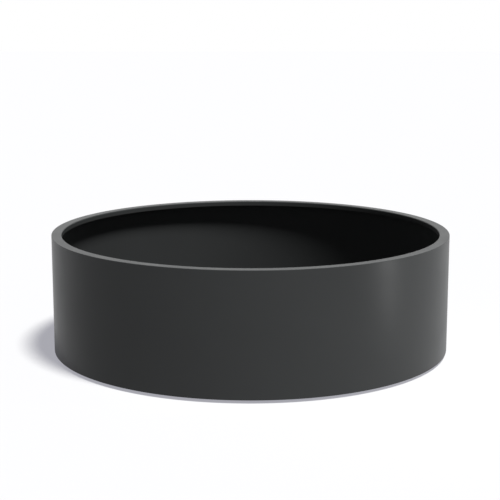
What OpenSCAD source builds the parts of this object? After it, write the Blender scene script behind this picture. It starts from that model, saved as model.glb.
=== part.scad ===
// Low round planter in powder-coated steel, standing on screw-adjusted levelling feet.
// Millimetres, +Z up. The origin is on the ground, under the middle of the planter.
// A rolled wall carries a folded rim at the top and a flat flange at the bottom. Four lines of
// inverted channels cross under the floor, and each foot screws into a welded bush.

/* [Vessel] */
// Outside diameter of the wall
planter_d = 2000; // [1800:10:2400]
// Height from the ground to the top of the rim, with the feet screwed home
planter_h = 600; // [400:10:900]
// Thickness of the rolled wall sheet
wall_t = 3; // [2:0.5:5]

/* [Rim] */
// Width of the rim's flat top, from the wall's outer face inwards
rim_w = 50; // [40:1:80]
// Depth of the lip that turns down at the rim's inner edge
rim_drop = 25; // [15:1:60]
// Thickness of the rim's sheet
rim_t = 3; // [2:0.5:5]
// Radius ground on the rim's outer top edge
edge_r = 2; // [0.5:0.5:4]
// Outer radius of the bend between the rim's top and its lip
bend_r = 5; // [4:0.5:8]

/* [Base] */
// Height of the base flange above the ground, with the feet screwed home
ground_gap = 15; // [13:1:22]
// Width of the base flange, from the wall's inner face inwards
flange_w = 100; // [90:1:140]
// Thickness of the base flange and of the plates over the inner feet
flange_t = 4; // [3:0.5:6]
// Thickness of the floor sheet
floor_t = 3; // [2:0.5:6]

/* [Bearers] */
// Width of the channels under the floor
bearer_w = 40; // [34:1:60]
// Height of the channels under the floor
bearer_h = 40; // [38:1:80]
// Thickness of the channels' sheet
bearer_t = 3; // [2:0.5:4]
// Outer radius of the channels' two bends
bearer_bend_r = 5; // [4.5:0.5:8]
// Distance between the middles of two parallel channels
bearer_pitch = 640; // [500:10:740]
// Side of the square plate under each crossing of two channels
crossing_plate_w = 90; // [70:1:140]

/* [Drainage] */
// Diameter of the drain holes in the floor
drain_d = 30; // [15:1:60]
// Radius of the circle of drain holes round the middle one
drain_circle_r = 640; // [600:5:700]

/* [Feet] */
// Distance from the wall's outer face to the middle of an outer foot
foot_inset = 75; // [60:1:85]
// Diameter of a foot's pad
pad_d = 50; // [40:1:60]
// Height of a foot's pad
pad_h = 8; // [7:0.5:9]
// Diameter of the foot's threaded stud
stud_d = 12; // [10:1:14]
// Width across the flats of the stud's hexagonal collar
collar_af = 19; // [17:1:24]
// Diameter of the threaded bush that a foot screws into
bush_d = 24; // [20:1:27]
// Height of the threaded bush
bush_h = 30; // [28:1:32]

/* [Hidden] */
$fn = 128;
coat_colour = "#2c2f31";    // every welded piece is coated in one go
zinc_colour = "#b9bcbd";
plastic_colour = "#1b1c1d";
fit_gap = 0.05;         // radial clearance of a stud in its bush
turn_gap = 0.1;         // clearance of a stud's foot in its pad, all round
collar_gap = 0.5;       // free height above and below a stud's collar
collar_face_share = 0.95; // a collar's round face, as a share of its width across the flats
hole_gap = 1;           // radial clearance of a stud in the flange's hole
end_gap = 1;            // clearance of a channel's corner from the wall
stud_proud = 3;         // how far a stud stands out of its bush, screwed home
tip_chamfer = 1.5;      // chamfer on a stud's tip and in a bush's mouth
pad_edge_r = 2.5;       // rounding of a pad's upper edge
pad_sole_t = 2.5;       // pad material under the stud's foot
pad_lip_t = 1.5;        // pad lip that keeps the stud's foot in
lip_overlap = 2.4;      // how far the pad's lip reaches in over the stud's foot
outer_feet = 8;         // feet round the base flange
inner_feet = 4;         // feet under the channels' crossings
cut = 1;                // how far a cutting shape runs past what it cuts

wall_ro = planter_d / 2;
wall_ri = wall_ro - wall_t;
rim_ri = wall_ro - rim_w;
rim_z = planter_h - rim_t;
flange_z = ground_gap;
flange_top = flange_z + flange_t;
flange_ri = wall_ri - flange_w;
floor_z = flange_top + bearer_h;
half_pitch = bearer_pitch / 2;
outer_foot_r = wall_ro - foot_inset;
stud_top = flange_top + bush_h + stud_proud;
collar_z = pad_h + collar_gap;
collar_h = flange_z - collar_gap - collar_z;
stud_foot_r = stud_d / 2 + lip_overlap;
stud_foot_z = pad_sole_t + turn_gap;
stud_foot_top = pad_h - pad_lip_t - turn_gap;

// Middle of each foot: the outer ones on the flange, then the inner ones under the crossings
FOOT_XY = concat(
    [for (i = [0 : outer_feet - 1]) outer_foot_r * [cos(i * 360 / outer_feet), sin(i * 360 / outer_feet)]],
    [for (i = [0 : inner_feet - 1]) half_pitch * sqrt(2) * [cos(45 + i * 90), sin(45 + i * 90)]]
);
FEET = outer_feet + inner_feet;
DRAIN_XY = concat(
    [[0, 0]],
    [for (i = [0 : 7]) drain_circle_r * [cos(i * 45), sin(i * 45)]]
);

// A flat or tall ring between two radii
module ring(r_out, r_in, z, h) {
    translate([0, 0, z]) difference() {
        cylinder(r = r_out, h = h);
        translate([0, 0, -cut]) cylinder(r = r_in, h = h + 2 * cut);
    }
}

// What a round of radius r takes off a square corner at the origin, the corner pointing along +X and +Y
module corner_round(r) {
    difference() {
        translate([-r, -r]) square(r + cut);
        translate([-r, -r]) circle(r = r);
        translate([-r - cut, -r - cut]) square([cut, r + 2 * cut]);
        translate([-r - cut, -r - cut]) square([r + 2 * cut, cut]);
    }
}

// The rim's section: a flat top and a lip turned down at its inner edge
module rim_section() {
    inner_bend_r = bend_r - rim_t;
    difference() {
        translate([rim_ri, planter_h - rim_drop]) square([rim_w, rim_drop]);
        difference() {
            translate([rim_ri + rim_t, planter_h - rim_drop - cut]) square([rim_w, rim_drop + cut - rim_t]);
            if (inner_bend_r > 0)
                translate([rim_ri + rim_t, rim_z]) mirror([1, 0]) corner_round(inner_bend_r);
        }
        translate([rim_ri, planter_h]) mirror([1, 0]) corner_round(bend_r);
        translate([wall_ro, planter_h]) corner_round(min(edge_r, rim_t));
    }
}

module wall() {
    color(coat_colour) ring(wall_ro, wall_ri, flange_z, rim_z - flange_z);
}

module rim() {
    color(coat_colour) rotate_extrude() rim_section();
}

module base_flange() {
    color(coat_colour) difference() {
        ring(wall_ri, flange_ri, flange_z, flange_t);
        for (k = [0 : outer_feet - 1])
            translate([FOOT_XY[k].x, FOOT_XY[k].y, flange_z - cut])
                cylinder(d = stud_d + 2 * hole_gap, h = flange_t + 2 * cut);
    }
}

module floor_plate() {
    color(coat_colour) difference() {
        translate([0, 0, floor_z]) cylinder(r = wall_ri, h = floor_t);
        for (p = DRAIN_XY)
            translate([p.x, p.y, floor_z - cut]) cylinder(d = drain_d, h = floor_t + 2 * cut);
    }
}

// A bar's section, standing on y = 0, with both upper corners rounded to r
module round_topped(w, h, r) {
    difference() {
        translate([-w / 2, 0]) square([w, h]);
        for (side = [0, 1]) mirror([side, 0]) translate([w / 2, h]) corner_round(r);
    }
}

// A channel bent up from sheet, its open side down, lying along X from x0 to x1 about the line y = 0
module channel(x0, x1) {
    translate([x0, 0, flange_top]) rotate([90, 0, 90]) linear_extrude(x1 - x0) difference() {
        round_topped(bearer_w, bearer_h, bearer_bend_r);
        translate([0, -cut])
            round_topped(bearer_w - 2 * bearer_t, bearer_h - bearer_t + cut, bearer_bend_r - bearer_t);
    }
}

// Where a channel's end stops, so that its outer corners clear the wall
bearer_reach = sqrt(pow(wall_ri - end_gap, 2) - pow(half_pitch + bearer_w / 2, 2));
// Where a cross channel meets the side of a long one
crossing_side = half_pitch - bearer_w / 2;

module long_bearer(side) {
    color(coat_colour) translate([0, side * half_pitch, 0]) channel(-bearer_reach, bearer_reach);
}

module middle_bearer(side) {
    color(coat_colour) translate([side * half_pitch, 0, 0]) rotate([0, 0, 90]) channel(-crossing_side, crossing_side);
}

module end_bearer(side_x, side_y) {
    color(coat_colour) translate([side_x * half_pitch, 0, 0]) rotate([0, 0, side_y * 90])
        channel(half_pitch + bearer_w / 2, bearer_reach);
}

module crossing_plates() {
    color(coat_colour) for (k = [outer_feet : FEET - 1])
        translate([FOOT_XY[k].x, FOOT_XY[k].y, flange_z]) difference() {
            translate([0, 0, flange_t / 2]) cube([crossing_plate_w, crossing_plate_w, flange_t], center = true);
            translate([0, 0, -cut]) cylinder(d = stud_d + 2 * hole_gap, h = flange_t + 2 * cut);
        }
}

// A welded bush, bored for the stud and countersunk at its upper mouth
module bush() {
    bore_r = stud_d / 2 + fit_gap;
    difference() {
        cylinder(d = bush_d, h = bush_h);
        translate([0, 0, -cut]) cylinder(r = bore_r, h = bush_h + 2 * cut);
        translate([0, 0, bush_h - tip_chamfer])
            cylinder(r1 = bore_r, r2 = bore_r + tip_chamfer, h = tip_chamfer);
    }
}

module bushes(first, last) {
    color(coat_colour) for (k = [first : last])
        translate([FOOT_XY[k].x, FOOT_XY[k].y, flange_top]) bush();
}

// The pad's section: a flat sole, a rounded upper edge and an undercut pocket for the stud's foot
module pad_section() {
    difference() {
        square([pad_d / 2, pad_h]);
        translate([pad_d / 2, pad_h]) corner_round(pad_edge_r);
        translate([0, pad_sole_t]) square([stud_foot_r + turn_gap, pad_h - pad_lip_t - pad_sole_t]);
        translate([0, pad_sole_t]) square([stud_d / 2 + hole_gap / 2, pad_h]);
    }
}

module foot_pad(k) {
    color(plastic_colour) translate([FOOT_XY[k].x, FOOT_XY[k].y, 0]) rotate_extrude() pad_section();
}

// A hexagonal collar for a spanner, its corners turned off at 30 degrees above and below
module collar() {
    corner_r = collar_af / 2 / cos(30) + cut;
    face_r = collar_af / 2 * collar_face_share;
    turned_h = (corner_r - face_r) * tan(30);
    intersection() {
        cylinder(d = collar_af / cos(30), h = collar_h, $fn = 6);
        rotate_extrude() polygon([
            [0, 0], [face_r, 0], [corner_r, turned_h],
            [corner_r, collar_h - turned_h], [face_r, collar_h], [0, collar_h]
        ]);
    }
}

// The stud: a round foot held in the pad, the collar, and the threaded shank
module foot_stud(k) {
    color(zinc_colour) translate([FOOT_XY[k].x, FOOT_XY[k].y, 0]) union() {
        translate([0, 0, stud_foot_z]) cylinder(r = stud_foot_r, h = stud_foot_top - stud_foot_z);
        translate([0, 0, stud_foot_z]) cylinder(d = stud_d, h = stud_top - tip_chamfer - stud_foot_z);
        translate([0, 0, collar_z]) collar();
        translate([0, 0, stud_top - tip_chamfer])
            cylinder(d1 = stud_d, d2 = stud_d - 2 * tip_chamfer, h = tip_chamfer);
    }
}

wall();
rim();
base_flange();
floor_plate();
long_bearer(-1);  // long_bearer_front
long_bearer(1);  // long_bearer_back
middle_bearer(-1);  // middle_bearer_left
middle_bearer(1);  // middle_bearer_right
end_bearer(-1, -1);  // end_bearer_front_left
end_bearer(1, -1);  // end_bearer_front_right
end_bearer(-1, 1);  // end_bearer_back_left
end_bearer(1, 1);  // end_bearer_back_right
crossing_plates();
bushes(0, outer_feet - 1);  // flange_bushes
bushes(outer_feet, FEET - 1);  // crossing_bushes
for (k = [0 : FEET - 1]) {
    foot_pad(k);
    foot_stud(k);
}
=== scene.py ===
import math

import bmesh
import bpy
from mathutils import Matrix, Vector


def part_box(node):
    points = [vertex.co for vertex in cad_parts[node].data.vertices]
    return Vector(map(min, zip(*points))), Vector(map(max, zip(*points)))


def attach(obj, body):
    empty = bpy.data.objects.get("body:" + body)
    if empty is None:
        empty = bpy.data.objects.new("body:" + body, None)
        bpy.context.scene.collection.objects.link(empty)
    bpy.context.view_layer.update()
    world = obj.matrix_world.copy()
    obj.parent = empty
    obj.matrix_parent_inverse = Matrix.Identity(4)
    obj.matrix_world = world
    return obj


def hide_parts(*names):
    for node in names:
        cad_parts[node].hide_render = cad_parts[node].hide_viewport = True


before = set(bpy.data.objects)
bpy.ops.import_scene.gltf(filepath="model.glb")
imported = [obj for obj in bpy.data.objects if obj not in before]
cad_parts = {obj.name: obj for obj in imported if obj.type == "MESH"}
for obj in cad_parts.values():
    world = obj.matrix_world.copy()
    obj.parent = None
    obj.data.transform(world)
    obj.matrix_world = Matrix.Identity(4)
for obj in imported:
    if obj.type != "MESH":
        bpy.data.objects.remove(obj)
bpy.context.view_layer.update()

# ---------------------------------------------------------------- sizes, worked out from the frame
ROOT = "planter"
COAT, ZINC, PLASTIC = "coated_steel", "zinc_steel", "pad_plastic"


def radii(node, centre=(0, 0)):
    """The least and greatest distance of a CAD node's points from an upright axis."""
    lengths = [math.hypot(v.co.x - centre[0], v.co.y - centre[1]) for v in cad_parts[node].data.vertices]
    return min(lengths), max(lengths)


def heights(node):
    """The lowest and highest point of a CAD node."""
    low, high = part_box(node)
    return low.z, high.z


def middle(node):
    """The middle of a CAD node, seen from above."""
    low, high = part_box(node)
    return (low.x + high.x) / 2, (low.y + high.y) / 2


WALL_IN, WALL_OUT = radii("wall")
WALL_LOW, WALL_HIGH = heights("wall")
RIM_IN, RIM_OUT = radii("rim")
RIM_LOW, RIM_TOP = heights("rim")
SHEET = RIM_TOP - WALL_HIGH
FLANGE_LOW = heights("base_flange")[0]
FLOOR_LOW, FLOOR_TOP = heights("floor_plate")
FEET = sorted(int(name.split("_")[-1]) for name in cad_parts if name.startswith("foot_stud_"))
STUD_LOW, STUD_TOP = heights("foot_stud_1")
PAD_R = radii("foot_pad_1", middle("foot_pad_1"))[1]
PAD_TOP = heights("foot_pad_1")[1]

# The M12 stud and the parts that hold it, as the solids have them
STUD_R, THREAD_PITCH, THREAD_DEPTH = 0.006, 0.00175, 0.00095
COLLAR_HALF, COLLAR_FACE = 0.0095, 0.95 * 0.0095
COLLAR_LOW, COLLAR_TOP = PAD_TOP + 0.0005, FLANGE_LOW - 0.0005
STUD_FOOT_R, POCKET_GAP, PAD_LIP = 0.0084, 0.0001, 0.0015
STUD_TIP = 0.0015
AXIS_R = 0.0001  # where the profile of a solid without a bore starts


# ---------------------------------------------------------------- mesh helpers
def link(obj):
    bpy.context.scene.collection.objects.link(obj)
    return obj


def arc(centre, radius, start, end, steps=6):
    """Points along an arc, from one angle to another in degrees."""
    angles = [math.radians(start + (end - start) * i / steps) for i in range(steps + 1)]
    return [(centre[0] + radius * math.cos(a), centre[1] + radius * math.sin(a)) for a in angles]


def supported(outline, long=0.003, near=0.0004):
    """The outline with a point close to both ends of each long side.
    Smooth shading then stays at its corners."""
    points = []
    for (r0, z0), (r1, z1) in zip(outline, outline[1:] + outline[:1]):
        points.append((r0, z0))
        length = math.hypot(r1 - r0, z1 - z0)
        if length > long:
            for share in (near / length, 1 - near / length):
                points.append((r0 + (r1 - r0) * share, z0 + (z1 - z0) * share))
    return points


def new_mesh(name, verts, faces, sharp=35):
    """A mesh object, smooth but for edges sharper than that angle in degrees."""
    mesh = bpy.data.meshes.new(name)
    mesh.from_pydata(verts, [], faces)
    mesh.validate()
    mesh.polygons.foreach_set("use_smooth", [True] * len(mesh.polygons))
    mesh.set_sharp_from_angle(angle=math.radians(sharp))
    return link(bpy.data.objects.new(name, mesh))


def turned(outline, turns, centre=(0, 0), start=0):
    """Points and faces of a closed outline turned about an upright axis.
    The outline is (radius, height) points, anticlockwise, or a function that gives them for an angle."""
    rows = [outline(2 * math.pi * i / turns) if callable(outline) else outline for i in range(turns)]
    count = len(rows[0])
    verts, faces = [], []
    for i, row in enumerate(rows):
        a = 2 * math.pi * i / turns
        verts += [(centre[0] + r * math.cos(a), centre[1] + r * math.sin(a), z) for r, z in row]
        here, there = i * count, (i + 1) % turns * count
        for j in range(count):
            k = (j + 1) % count
            faces.append(tuple(start + v for v in (here + j, there + j, there + k, here + k)))
    return verts, faces


def lathe(name, outline, turns=360, centre=(0, 0), sharp=35):
    return new_mesh(name, *turned(supported(outline), turns, centre), sharp)


def softened(name, node, width=0.0006):
    """A welded piece's solid again, with its sharp edges broken as blasting and coating leave them."""
    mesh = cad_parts[node].data.copy()
    bm = bmesh.new()
    bm.from_mesh(mesh)
    bmesh.ops.remove_doubles(bm, verts=bm.verts, dist=1e-6)
    bmesh.ops.dissolve_limit(bm, angle_limit=math.radians(0.5), verts=bm.verts, edges=bm.edges)
    for face in bm.faces:
        face.smooth = False
    bm.to_mesh(mesh)
    bm.free()
    piece = link(bpy.data.objects.new(name, mesh))
    bevel = piece.modifiers.new("edges", "BEVEL")
    bevel.width, bevel.segments = width, 2
    bevel.limit_method, bevel.angle_limit = "ANGLE", math.radians(40)
    return piece


# ---------------------------------------------------------------- materials
class Nodes:
    """A short way to write a material's node tree."""

    def __init__(self, name):
        self.material = bpy.data.materials.new(name)
        self.material.use_nodes = True
        self.tree = self.material.node_tree
        self.shader = next(n for n in self.tree.nodes if n.type == "BSDF_PRINCIPLED")
        self.output = next(n for n in self.tree.nodes if n.type == "OUTPUT_MATERIAL")

    def add(self, kind, inputs=None, **settings):
        node = self.tree.nodes.new(kind)
        for key, value in settings.items():
            setattr(node, key, value)
        for key, value in (inputs or {}).items():
            self.set(node, key, value)
        return node

    def set(self, node, socket, value):
        if isinstance(value, bpy.types.NodeSocket):
            self.tree.links.new(value, node.inputs[socket])
        else:
            node.inputs[socket].default_value = value

    def place(self):
        if not hasattr(self, "coordinates"):
            self.coordinates = self.add("ShaderNodeTexCoord").outputs["Object"]
        return self.coordinates

    def noise(self, scale, detail=2.0):
        """Noise of that many waves to the metre."""
        inputs = {"Vector": self.place(), "Scale": scale, "Detail": detail}
        return self.add("ShaderNodeTexNoise", inputs).outputs["Fac"]

    def ramp(self, fac, low, high, start=0.3, end=0.7):
        """A colour or grey that goes from low to high as the noise does."""
        node = self.add("ShaderNodeValToRGB", {"Fac": fac})
        for stop, position, shade in zip(node.color_ramp.elements, (start, end), (low, high)):
            stop.position = position
            stop.color = shade if isinstance(shade, tuple) else (shade, shade, shade, 1)
        return node.outputs["Color"]

    def bump(self, height, depth, strength, below=None):
        inputs = {"Height": height, "Distance": depth, "Strength": strength}
        if below:
            inputs["Normal"] = below
        return self.add("ShaderNodeBump", inputs).outputs["Normal"]


def shades(colour, spread):
    """A colour a little darker and a little lighter."""
    return tuple(tuple(c * k for c in colour) + (1,) for k in (1 - spread, 1 + spread))


COAT_COLOUR = (0.0513, 0.0535, 0.0538)
COAT_ROUGHNESS = 0.36
COAT_IOR, COAT_SPECULAR = 1.18, 0.50


def coat_material(name="powder_coat", bead=0):
    """Baked powder coating: an even matt grey with a fine orange peel.
    On a weld's bead it lies over a ripple of that many waves to the metre."""
    n = Nodes(name)
    n.set(n.shader, "Base Color", n.ramp(n.noise(2.3, 3), *shades(COAT_COLOUR, 0.035)))
    n.set(n.shader, "Roughness", n.ramp(n.noise(5.1, 4), COAT_ROUGHNESS - 0.025, COAT_ROUGHNESS + 0.025))
    n.set(n.shader, "IOR", COAT_IOR)
    n.set(n.shader, "Specular IOR Level", COAT_SPECULAR)
    peel = n.bump(n.noise(330, 2), 0.00012, 0.35)
    if bead:
        peel = n.bump(n.noise(bead, 1), 0.0004, 0.3, peel)
    n.set(n.shader, "Normal", n.bump(n.noise(1400, 1), 0.00003, 0.3, peel))
    return n.material


def zinc_material():
    """Bright zinc plating: faintly clouded metal, dulled unevenly by handling."""
    n = Nodes("zinc_plate")
    clouds = n.noise(160, 4)
    n.set(n.shader, "Base Color", n.ramp(clouds, (0.50, 0.51, 0.53, 1), (0.66, 0.66, 0.64, 1)))
    n.set(n.shader, "Roughness", n.ramp(n.noise(420, 3), 0.26, 0.44))
    n.set(n.shader, "Metallic", 1.0)
    n.set(n.shader, "Normal", n.bump(n.noise(1900, 2), 0.00003, 0.4))
    return n.material


def pad_material():
    """Moulded black polyamide: dull, finely grained by its mould, a little paler where it has scuffed."""
    n = Nodes("moulded_polyamide")
    black, scuffed = (0.012, 0.012, 0.013, 1), (0.022, 0.022, 0.023, 1)
    n.set(n.shader, "Base Color", n.ramp(n.noise(240, 5), black, scuffed, 0.4, 0.8))
    n.set(n.shader, "Roughness", n.ramp(n.noise(500, 3), 0.50, 0.66))
    n.set(n.shader, "Specular IOR Level", 0.45)
    n.set(n.shader, "Normal", n.bump(n.noise(1500, 2), 0.00006, 0.5))
    return n.material


# ---------------------------------------------------------------- the welded vessel
def dress(piece, body, slot, material, *nodes):
    piece.data.materials.clear()
    piece.data.materials.append(material)
    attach(piece, body)
    if nodes:
        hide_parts(*nodes)
    return piece


def make_wall(material):
    edge = 0.0008
    outline = (
        arc((WALL_OUT - edge, WALL_LOW + edge), edge, -90, 0, 3)
        + [(WALL_OUT, WALL_HIGH), (WALL_IN, WALL_HIGH)]
        + arc((WALL_IN + edge, WALL_LOW + edge), edge, 180, 270, 3)
    )
    dress(lathe("vessel_wall", outline), ROOT, COAT, material, "wall")


def make_rim(material):
    edge, outer_r, bend = 0.0008, 0.002, 0.005
    outline = (
        [(RIM_OUT, WALL_HIGH)]
        + arc((RIM_OUT - outer_r, RIM_TOP - outer_r), outer_r, 0, 90, 6)
        + arc((RIM_IN + bend, RIM_TOP - bend), bend, 90, 180, 8)
        + arc((RIM_IN + edge, RIM_LOW + edge), edge, 180, 270, 3)
        + arc((RIM_IN + SHEET - edge, RIM_LOW + edge), edge, 270, 360, 3)
        + arc((RIM_IN + bend, RIM_TOP - bend), bend - SHEET, 180, 90, 4)
    )
    dress(lathe("rolled_rim", outline), ROOT, COAT, material, "rim")


BEARERS = sorted(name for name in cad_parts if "_bearer_" in name)
WELDED = ["base_flange", "floor_plate", "crossing_plates"] + BEARERS


def make_sheet_parts(material):
    for node in WELDED:
        dress(softened("coated_" + node, node), ROOT, COAT, material, node)


def make_bushes(material):
    """The threaded bushes, each with the fillet weld round its foot."""
    weld, mouth, edge, near = 0.0035, 0.0015, 0.0005, 0.02
    for node in ("flange_bushes", "crossing_bushes"):
        low, high = heights(node)
        points = [v.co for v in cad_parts[node].data.vertices]
        verts, faces = [], []
        for foot in FEET:
            centre = middle(f"foot_stud_{foot}")
            lengths = [d for d in (math.hypot(p.x - centre[0], p.y - centre[1]) for p in points) if d < near]
            if not lengths:
                continue
            bore, out = min(lengths), max(lengths)
            outline = supported(
                [(bore, low), (out + weld, low), (out + weld * 0.45, low + weld * 0.4), (out, low + weld)]
                + arc((out - edge, high - edge), edge, 0, 90, 3)
                + [(bore + mouth, high), (bore, high - mouth)]
            )
            more_verts, more_faces = turned(outline, 64, centre, len(verts))
            verts += more_verts
            faces += more_faces
        dress(new_mesh("coated_" + node, verts, faces), ROOT, COAT, material, node)


def make_floor_weld(material):
    """The bead that seals the floor to the wall all round, with the even ripples of a steady hand."""
    leg, ripples, steps = 0.0045, 1040, 4
    wave = (0.0, 0.00016, 0.00030, 0.00012)
    bulge = ((0.22, 0.72), (0.52, 0.50), (0.76, 0.24))

    def outline(a):
        step = round(a / (2 * math.pi) * ripples * steps)
        size = leg + wave[step % steps] + 0.00015 * math.sin(37 * a) + 0.0001 * math.sin(101 * a)
        corner = (WALL_IN + 0.0001, FLOOR_TOP - 0.0001)
        face = [(WALL_IN - size * x, FLOOR_TOP + size * y) for x, y in bulge]
        return [corner, (WALL_IN + 0.0001, FLOOR_TOP + size)] + face + [(WALL_IN - size, FLOOR_TOP - 0.0001)]

    dress(new_mesh("floor_weld", *turned(outline, ripples * steps), 70), ROOT, COAT, material)


def bead(start, end, out, down, verts, faces, ripples=9):
    """Adds one stitch weld: a rippled fillet between two faces.
    Its leg along out lies on the floor's underside, its leg along down on a channel's side."""
    start, end, out, down = Vector(start), Vector(end), Vector(out), Vector(down)
    first, rows = len(verts), 4 * ripples + 1
    swell = (0.93, 0.98, 1.04, 0.99)
    for i in range(rows):
        t = i / (rows - 1)
        size = min(1, 3.2 * math.sqrt(max(t * (1 - t), 0.004))) * swell[i % 4]
        at = start.lerp(end, t)
        points = (
            at - out * 0.8, at + out * size, at + (out + down) * size * 0.58,
            at + down * size, at - out * 0.2 + down * size,
        )
        verts += [tuple(point) for point in points]
        if i:
            b = first + 5 * i
            faces += [(b - 5 + j, b - 5 + (j + 1) % 5, b + (j + 1) % 5, b + j) for j in range(5)]
    faces += [tuple(first + j for j in (4, 3, 2, 1, 0)), tuple(first + 5 * (rows - 1) + j for j in range(5))]


def make_stitches(material):
    """Stitch welds under the floor, along both sides of every channel."""
    verts, faces = [], []
    length, every, inset = 0.04, 0.20, 0.08
    for node in BEARERS:
        low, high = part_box(node)
        along = 0 if high.x - low.x > high.y - low.y else 1
        across = 1 - along
        span = high[along] - low[along] - 2 * inset
        count = max(1, round(span / every))
        for side, at in ((-1, low[across]), (1, high[across])):
            for i in range(count):
                centre = low[along] + inset + span * (i + 0.5) / count
                ends = []
                for shift in (-length / 2, length / 2):
                    point = [0, 0, FLOOR_LOW + 0.0001]
                    point[along], point[across] = centre + shift, at
                    ends.append(point)
                out = [0, 0, 0]
                out[across] = side * 0.004
                bead(*ends, out, (0, 0, -0.0068), verts, faces)
    piece = new_mesh("stitch_welds", verts, faces, 70)
    bm = bmesh.new()
    bm.from_mesh(piece.data)
    bmesh.ops.recalc_face_normals(bm, faces=bm.faces)
    bm.to_mesh(piece.data)
    bm.free()
    dress(piece, ROOT, COAT, material)


# ---------------------------------------------------------------- the levelling feet
def thread(centre, low, high, start, segments=28):
    """Points and faces of a screw thread's ridge, from low to high and run out at both ends."""
    root, crest = STUD_R - THREAD_DEPTH, STUD_R - 0.00003
    turns = (high - low - THREAD_PITCH) / THREAD_PITCH
    rows = int(turns * segments)
    verts, faces = [], []
    for i in range(rows + 1):
        a = 2 * math.pi * i / segments
        z = low + THREAD_PITCH * (0.5 + i / segments)
        height = (crest - root) * min(1, i / segments * 2, (rows - i) / segments * 2)
        sunk = root - 0.0002
        for r, dz in ((sunk, -0.46), (root + height, -0.08), (root + height, 0.08), (sunk, 0.46)):
            verts.append((centre[0] + r * math.cos(a), centre[1] + r * math.sin(a), z + dz * THREAD_PITCH))
        if i:
            b = start + 4 * i
            faces += [(b - 4 + j, b + j, b + (j + 1) % 4, b - 4 + (j + 1) % 4) for j in range(4)]
    last = start + 4 * rows
    return verts, faces + [(start, start + 1, start + 2, start + 3), (last + 3, last + 2, last + 1, last)]


def stud_outline(a):
    """The stud's section at an angle: its round foot, neck, hexagonal collar and the thread's core."""
    flat = math.radians(60)
    corner = COLLAR_HALF / math.cos((a % flat) - flat / 2) - 0.0002
    drop = max(0.0, corner - COLLAR_FACE) * math.tan(math.radians(30)) + 0.00005
    core, soft = STUD_R - THREAD_DEPTH, 0.0004
    foot_top = PAD_TOP - PAD_LIP - POCKET_GAP
    return [
        (AXIS_R, STUD_LOW), (STUD_FOOT_R - soft, STUD_LOW), (STUD_FOOT_R, STUD_LOW + soft),
        (STUD_FOOT_R, foot_top - soft), (STUD_FOOT_R - soft, foot_top), (STUD_R, foot_top),
        (STUD_R, COLLAR_LOW), (COLLAR_FACE, COLLAR_LOW), (corner, COLLAR_LOW + drop),
        (corner, COLLAR_TOP - drop), (COLLAR_FACE, COLLAR_TOP), (STUD_R, COLLAR_TOP),
        (core, COLLAR_TOP + 0.0008), (core, STUD_TOP - STUD_TIP * 0.6),
        (core - STUD_TIP * 0.6, STUD_TOP), (AXIS_R, STUD_TOP),
    ]


def make_foot(foot, zinc, plastic):
    centre = middle(f"foot_stud_{foot}")
    verts, faces = turned(stud_outline, 72, centre)
    more_verts, more_faces = thread(centre, COLLAR_TOP + 0.0004, STUD_TOP - STUD_TIP * 0.5, len(verts))
    stud = new_mesh(f"threaded_stud_{foot}", verts + more_verts, faces + more_faces, 25)
    dress(stud, f"stud_{foot}", ZINC, zinc, f"foot_stud_{foot}")

    sole, groove, round_r, soft = 0.0025, 0.0007, 0.0025, 0.0005
    mouth, pocket = STUD_R + 0.0005, STUD_FOOT_R + POCKET_GAP
    rings, mouth_half, bed_half = (0.009, 0.014, 0.019), 0.0009, 0.0005
    under = [(AXIS_R, 0.0)]
    for r in rings:
        under += [(r - mouth_half, 0.0), (r - bed_half, groove), (r + bed_half, groove), (r + mouth_half, 0.0)]
    outline = (
        under
        + arc((PAD_R - soft, soft), soft, -90, 0, 3)
        + arc((PAD_R - round_r, PAD_TOP - round_r), round_r, 0, 90, 6)
        + arc((mouth + soft, PAD_TOP - soft), soft, 90, 180, 3)
        + [(mouth, PAD_TOP - PAD_LIP), (pocket, PAD_TOP - PAD_LIP), (pocket, sole), (AXIS_R, sole)]
    )
    pad = lathe(f"moulded_pad_{foot}", outline, 96, centre)
    dress(pad, f"pad_{foot}", PLASTIC, plastic, f"foot_pad_{foot}")


# ---------------------------------------------------------------- the studio
# Directions are angles round the planter: 0 towards the camera, positive to its right.
# The key is a soft sun. The strip is a narrow upright lamp at the front right, for the wall's highlight.
KEY_AZIMUTH, KEY_ELEVATION, KEY_WIDTH = 43, 68, 12
KEY_STRENGTH = 4.15
STRIP_PLACE = (2.13, -1.0)
STRIP_LOW, STRIP_HIGH = 0.08, 0.50
STRIP_WIDTH = 0.10
STRIP_POWER = 6.3
# SKY_LIGHT and FLOOR_BOUNCE are the light that the world and the floor give the planter.
# FLOOR_COLOUR and SHADOW_GLOW together make the white floor that is seen, and the second its shadow.
# The last line paints shade on the floor under the planter: between its two radii the glow rises from the
# given share of itself to all of it.
SKY_LIGHT = (0.05, 0.05, 0.053, 1)
FLOOR_BOUNCE = (0.385, 0.385, 0.39, 1)
FLOOR_COLOUR = (0.485, 0.485, 0.465, 1)
SHADOW_GLOW = (0.372, 0.372, 0.412, 1)
PAINTED_SHADE_IN, PAINTED_SHADE_OUT, GLOW_LEFT_IN_PAINTED_SHADE = 0.80 * WALL_OUT, 0.93 * WALL_OUT, 0.05
CAMERA_PLACE, CAMERA_TILT = (0, -6.404, 1.736), 10.957
CAMERA_LENS, CAMERA_SENSOR, CAMERA_SHIFT = 92.2, 36, -0.001


def background_rays(tree):
    """1 for the rays that see the white background.
    They are the camera's, and those that metal and glass mirror or pass on."""
    path = tree.nodes.new("ShaderNodeLightPath")
    seen = path.outputs["Is Camera Ray"]
    for name in ("Is Glossy Ray", "Is Transmission Ray"):
        either = tree.nodes.new("ShaderNodeMath")
        either.operation = "MAXIMUM"
        tree.links.new(seen, either.inputs[0])
        tree.links.new(path.outputs[name], either.inputs[1])
        seen = either.outputs[0]
    return seen


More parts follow.
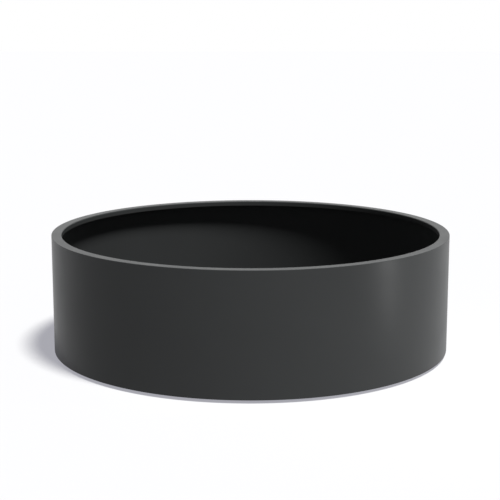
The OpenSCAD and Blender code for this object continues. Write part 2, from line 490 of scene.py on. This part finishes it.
def make_floor():
    """A pale floor that keeps the planter's shadow.
    Its glow is faded well under the planter, a painted shade that is seen down the drain holes."""
    half = 40
    corners = [(-half, -half, 0), (half, -half, 0), (half, half, 0), (-half, half, 0)]
    floor = new_mesh("studio_floor", corners, [(0, 1, 2, 3)])
    n = Nodes("studio_floor")
    lit = n.add("ShaderNodeBsdfDiffuse", {"Color": FLOOR_COLOUR})
    # Painted shade: the floor's glow is faded under the planter, where the planter shades the floor.
    reach = n.add("ShaderNodeVectorMath", {0: n.place()}, operation="LENGTH").outputs["Value"]
    painted_shade_fade = {"Value": reach, "From Min": PAINTED_SHADE_IN, "From Max": PAINTED_SHADE_OUT, "To Min": GLOW_LEFT_IN_PAINTED_SHADE, "To Max": 1.0}
    glow_share_painted_shade = n.add("ShaderNodeMapRange", painted_shade_fade).outputs["Result"]
    glow = n.add("ShaderNodeEmission", {"Color": SHADOW_GLOW, "Strength": glow_share_painted_shade})
    white = n.add("ShaderNodeAddShader", {0: lit.outputs[0], 1: glow.outputs[0]})
    bounce = n.add("ShaderNodeBsdfDiffuse", {"Color": FLOOR_BOUNCE})
    mix = n.add("ShaderNodeMixShader", {0: background_rays(n.tree), 1: bounce.outputs[0], 2: white.outputs[0]})
    n.set(n.output, "Surface", mix.outputs[0])
    floor.data.materials.append(n.material)


def make_world():
    world = bpy.data.worlds.new("studio")
    bpy.context.scene.world = world
    world.use_nodes = True
    tree = world.node_tree
    tree.nodes.clear()
    sky, white = tree.nodes.new("ShaderNodeBackground"), tree.nodes.new("ShaderNodeBackground")
    sky.inputs["Color"].default_value = SKY_LIGHT
    white.inputs["Color"].default_value = (1, 1, 1, 1)
    mix = tree.nodes.new("ShaderNodeMixShader")
    tree.links.new(background_rays(tree), mix.inputs[0])
    tree.links.new(sky.outputs[0], mix.inputs[1])
    tree.links.new(white.outputs[0], mix.inputs[2])
    tree.links.new(mix.outputs[0], tree.nodes.new("ShaderNodeOutputWorld").inputs[0])


def towards(azimuth, elevation):
    """The unit vector that points that way from the planter."""
    a, e = math.radians(azimuth), math.radians(elevation)
    return Vector((math.sin(a) * math.cos(e), -math.cos(a) * math.cos(e), math.sin(e)))


def make_lights():
    key = link(bpy.data.objects.new("key_light", bpy.data.lights.new("key_light", "SUN")))
    key.rotation_euler = towards(KEY_AZIMUTH, KEY_ELEVATION).to_track_quat("Z", "Y").to_euler()
    key.data.energy = KEY_STRENGTH
    key.data.angle = math.radians(KEY_WIDTH)
    strip = link(bpy.data.objects.new("strip_light", bpy.data.lights.new("strip_light", "AREA")))
    strip.location = (*STRIP_PLACE, (STRIP_LOW + STRIP_HIGH) / 2)
    strip.rotation_euler = Vector((*STRIP_PLACE, 0)).to_track_quat("Z", "Y").to_euler()
    strip.data.shape = "RECTANGLE"
    strip.data.size = STRIP_WIDTH
    strip.data.size_y = STRIP_HIGH - STRIP_LOW
    strip.data.energy = STRIP_POWER
    strip.visible_camera = False


def make_camera():
    camera = link(bpy.data.objects.new("camera", bpy.data.cameras.new("camera")))
    camera.location = CAMERA_PLACE
    camera.rotation_euler = (math.radians(90 - CAMERA_TILT), 0, 0)
    camera.data.lens = CAMERA_LENS
    camera.data.sensor_width = CAMERA_SENSOR
    camera.data.shift_x = CAMERA_SHIFT
    camera.data.clip_end = 200
    bpy.context.scene.camera = camera


coat = coat_material()
bead_coat = coat_material("powder_coat_on_weld", 190)
zinc, plastic = zinc_material(), pad_material()
make_wall(coat)
make_rim(coat)
make_sheet_parts(coat)
make_bushes(coat)
make_floor_weld(bead_coat)
make_stitches(bead_coat)
for foot in FEET:
    make_foot(foot, zinc, plastic)
make_floor()
make_world()
make_lights()
make_camera()
bpy.context.scene.view_settings.view_transform = "Standard"
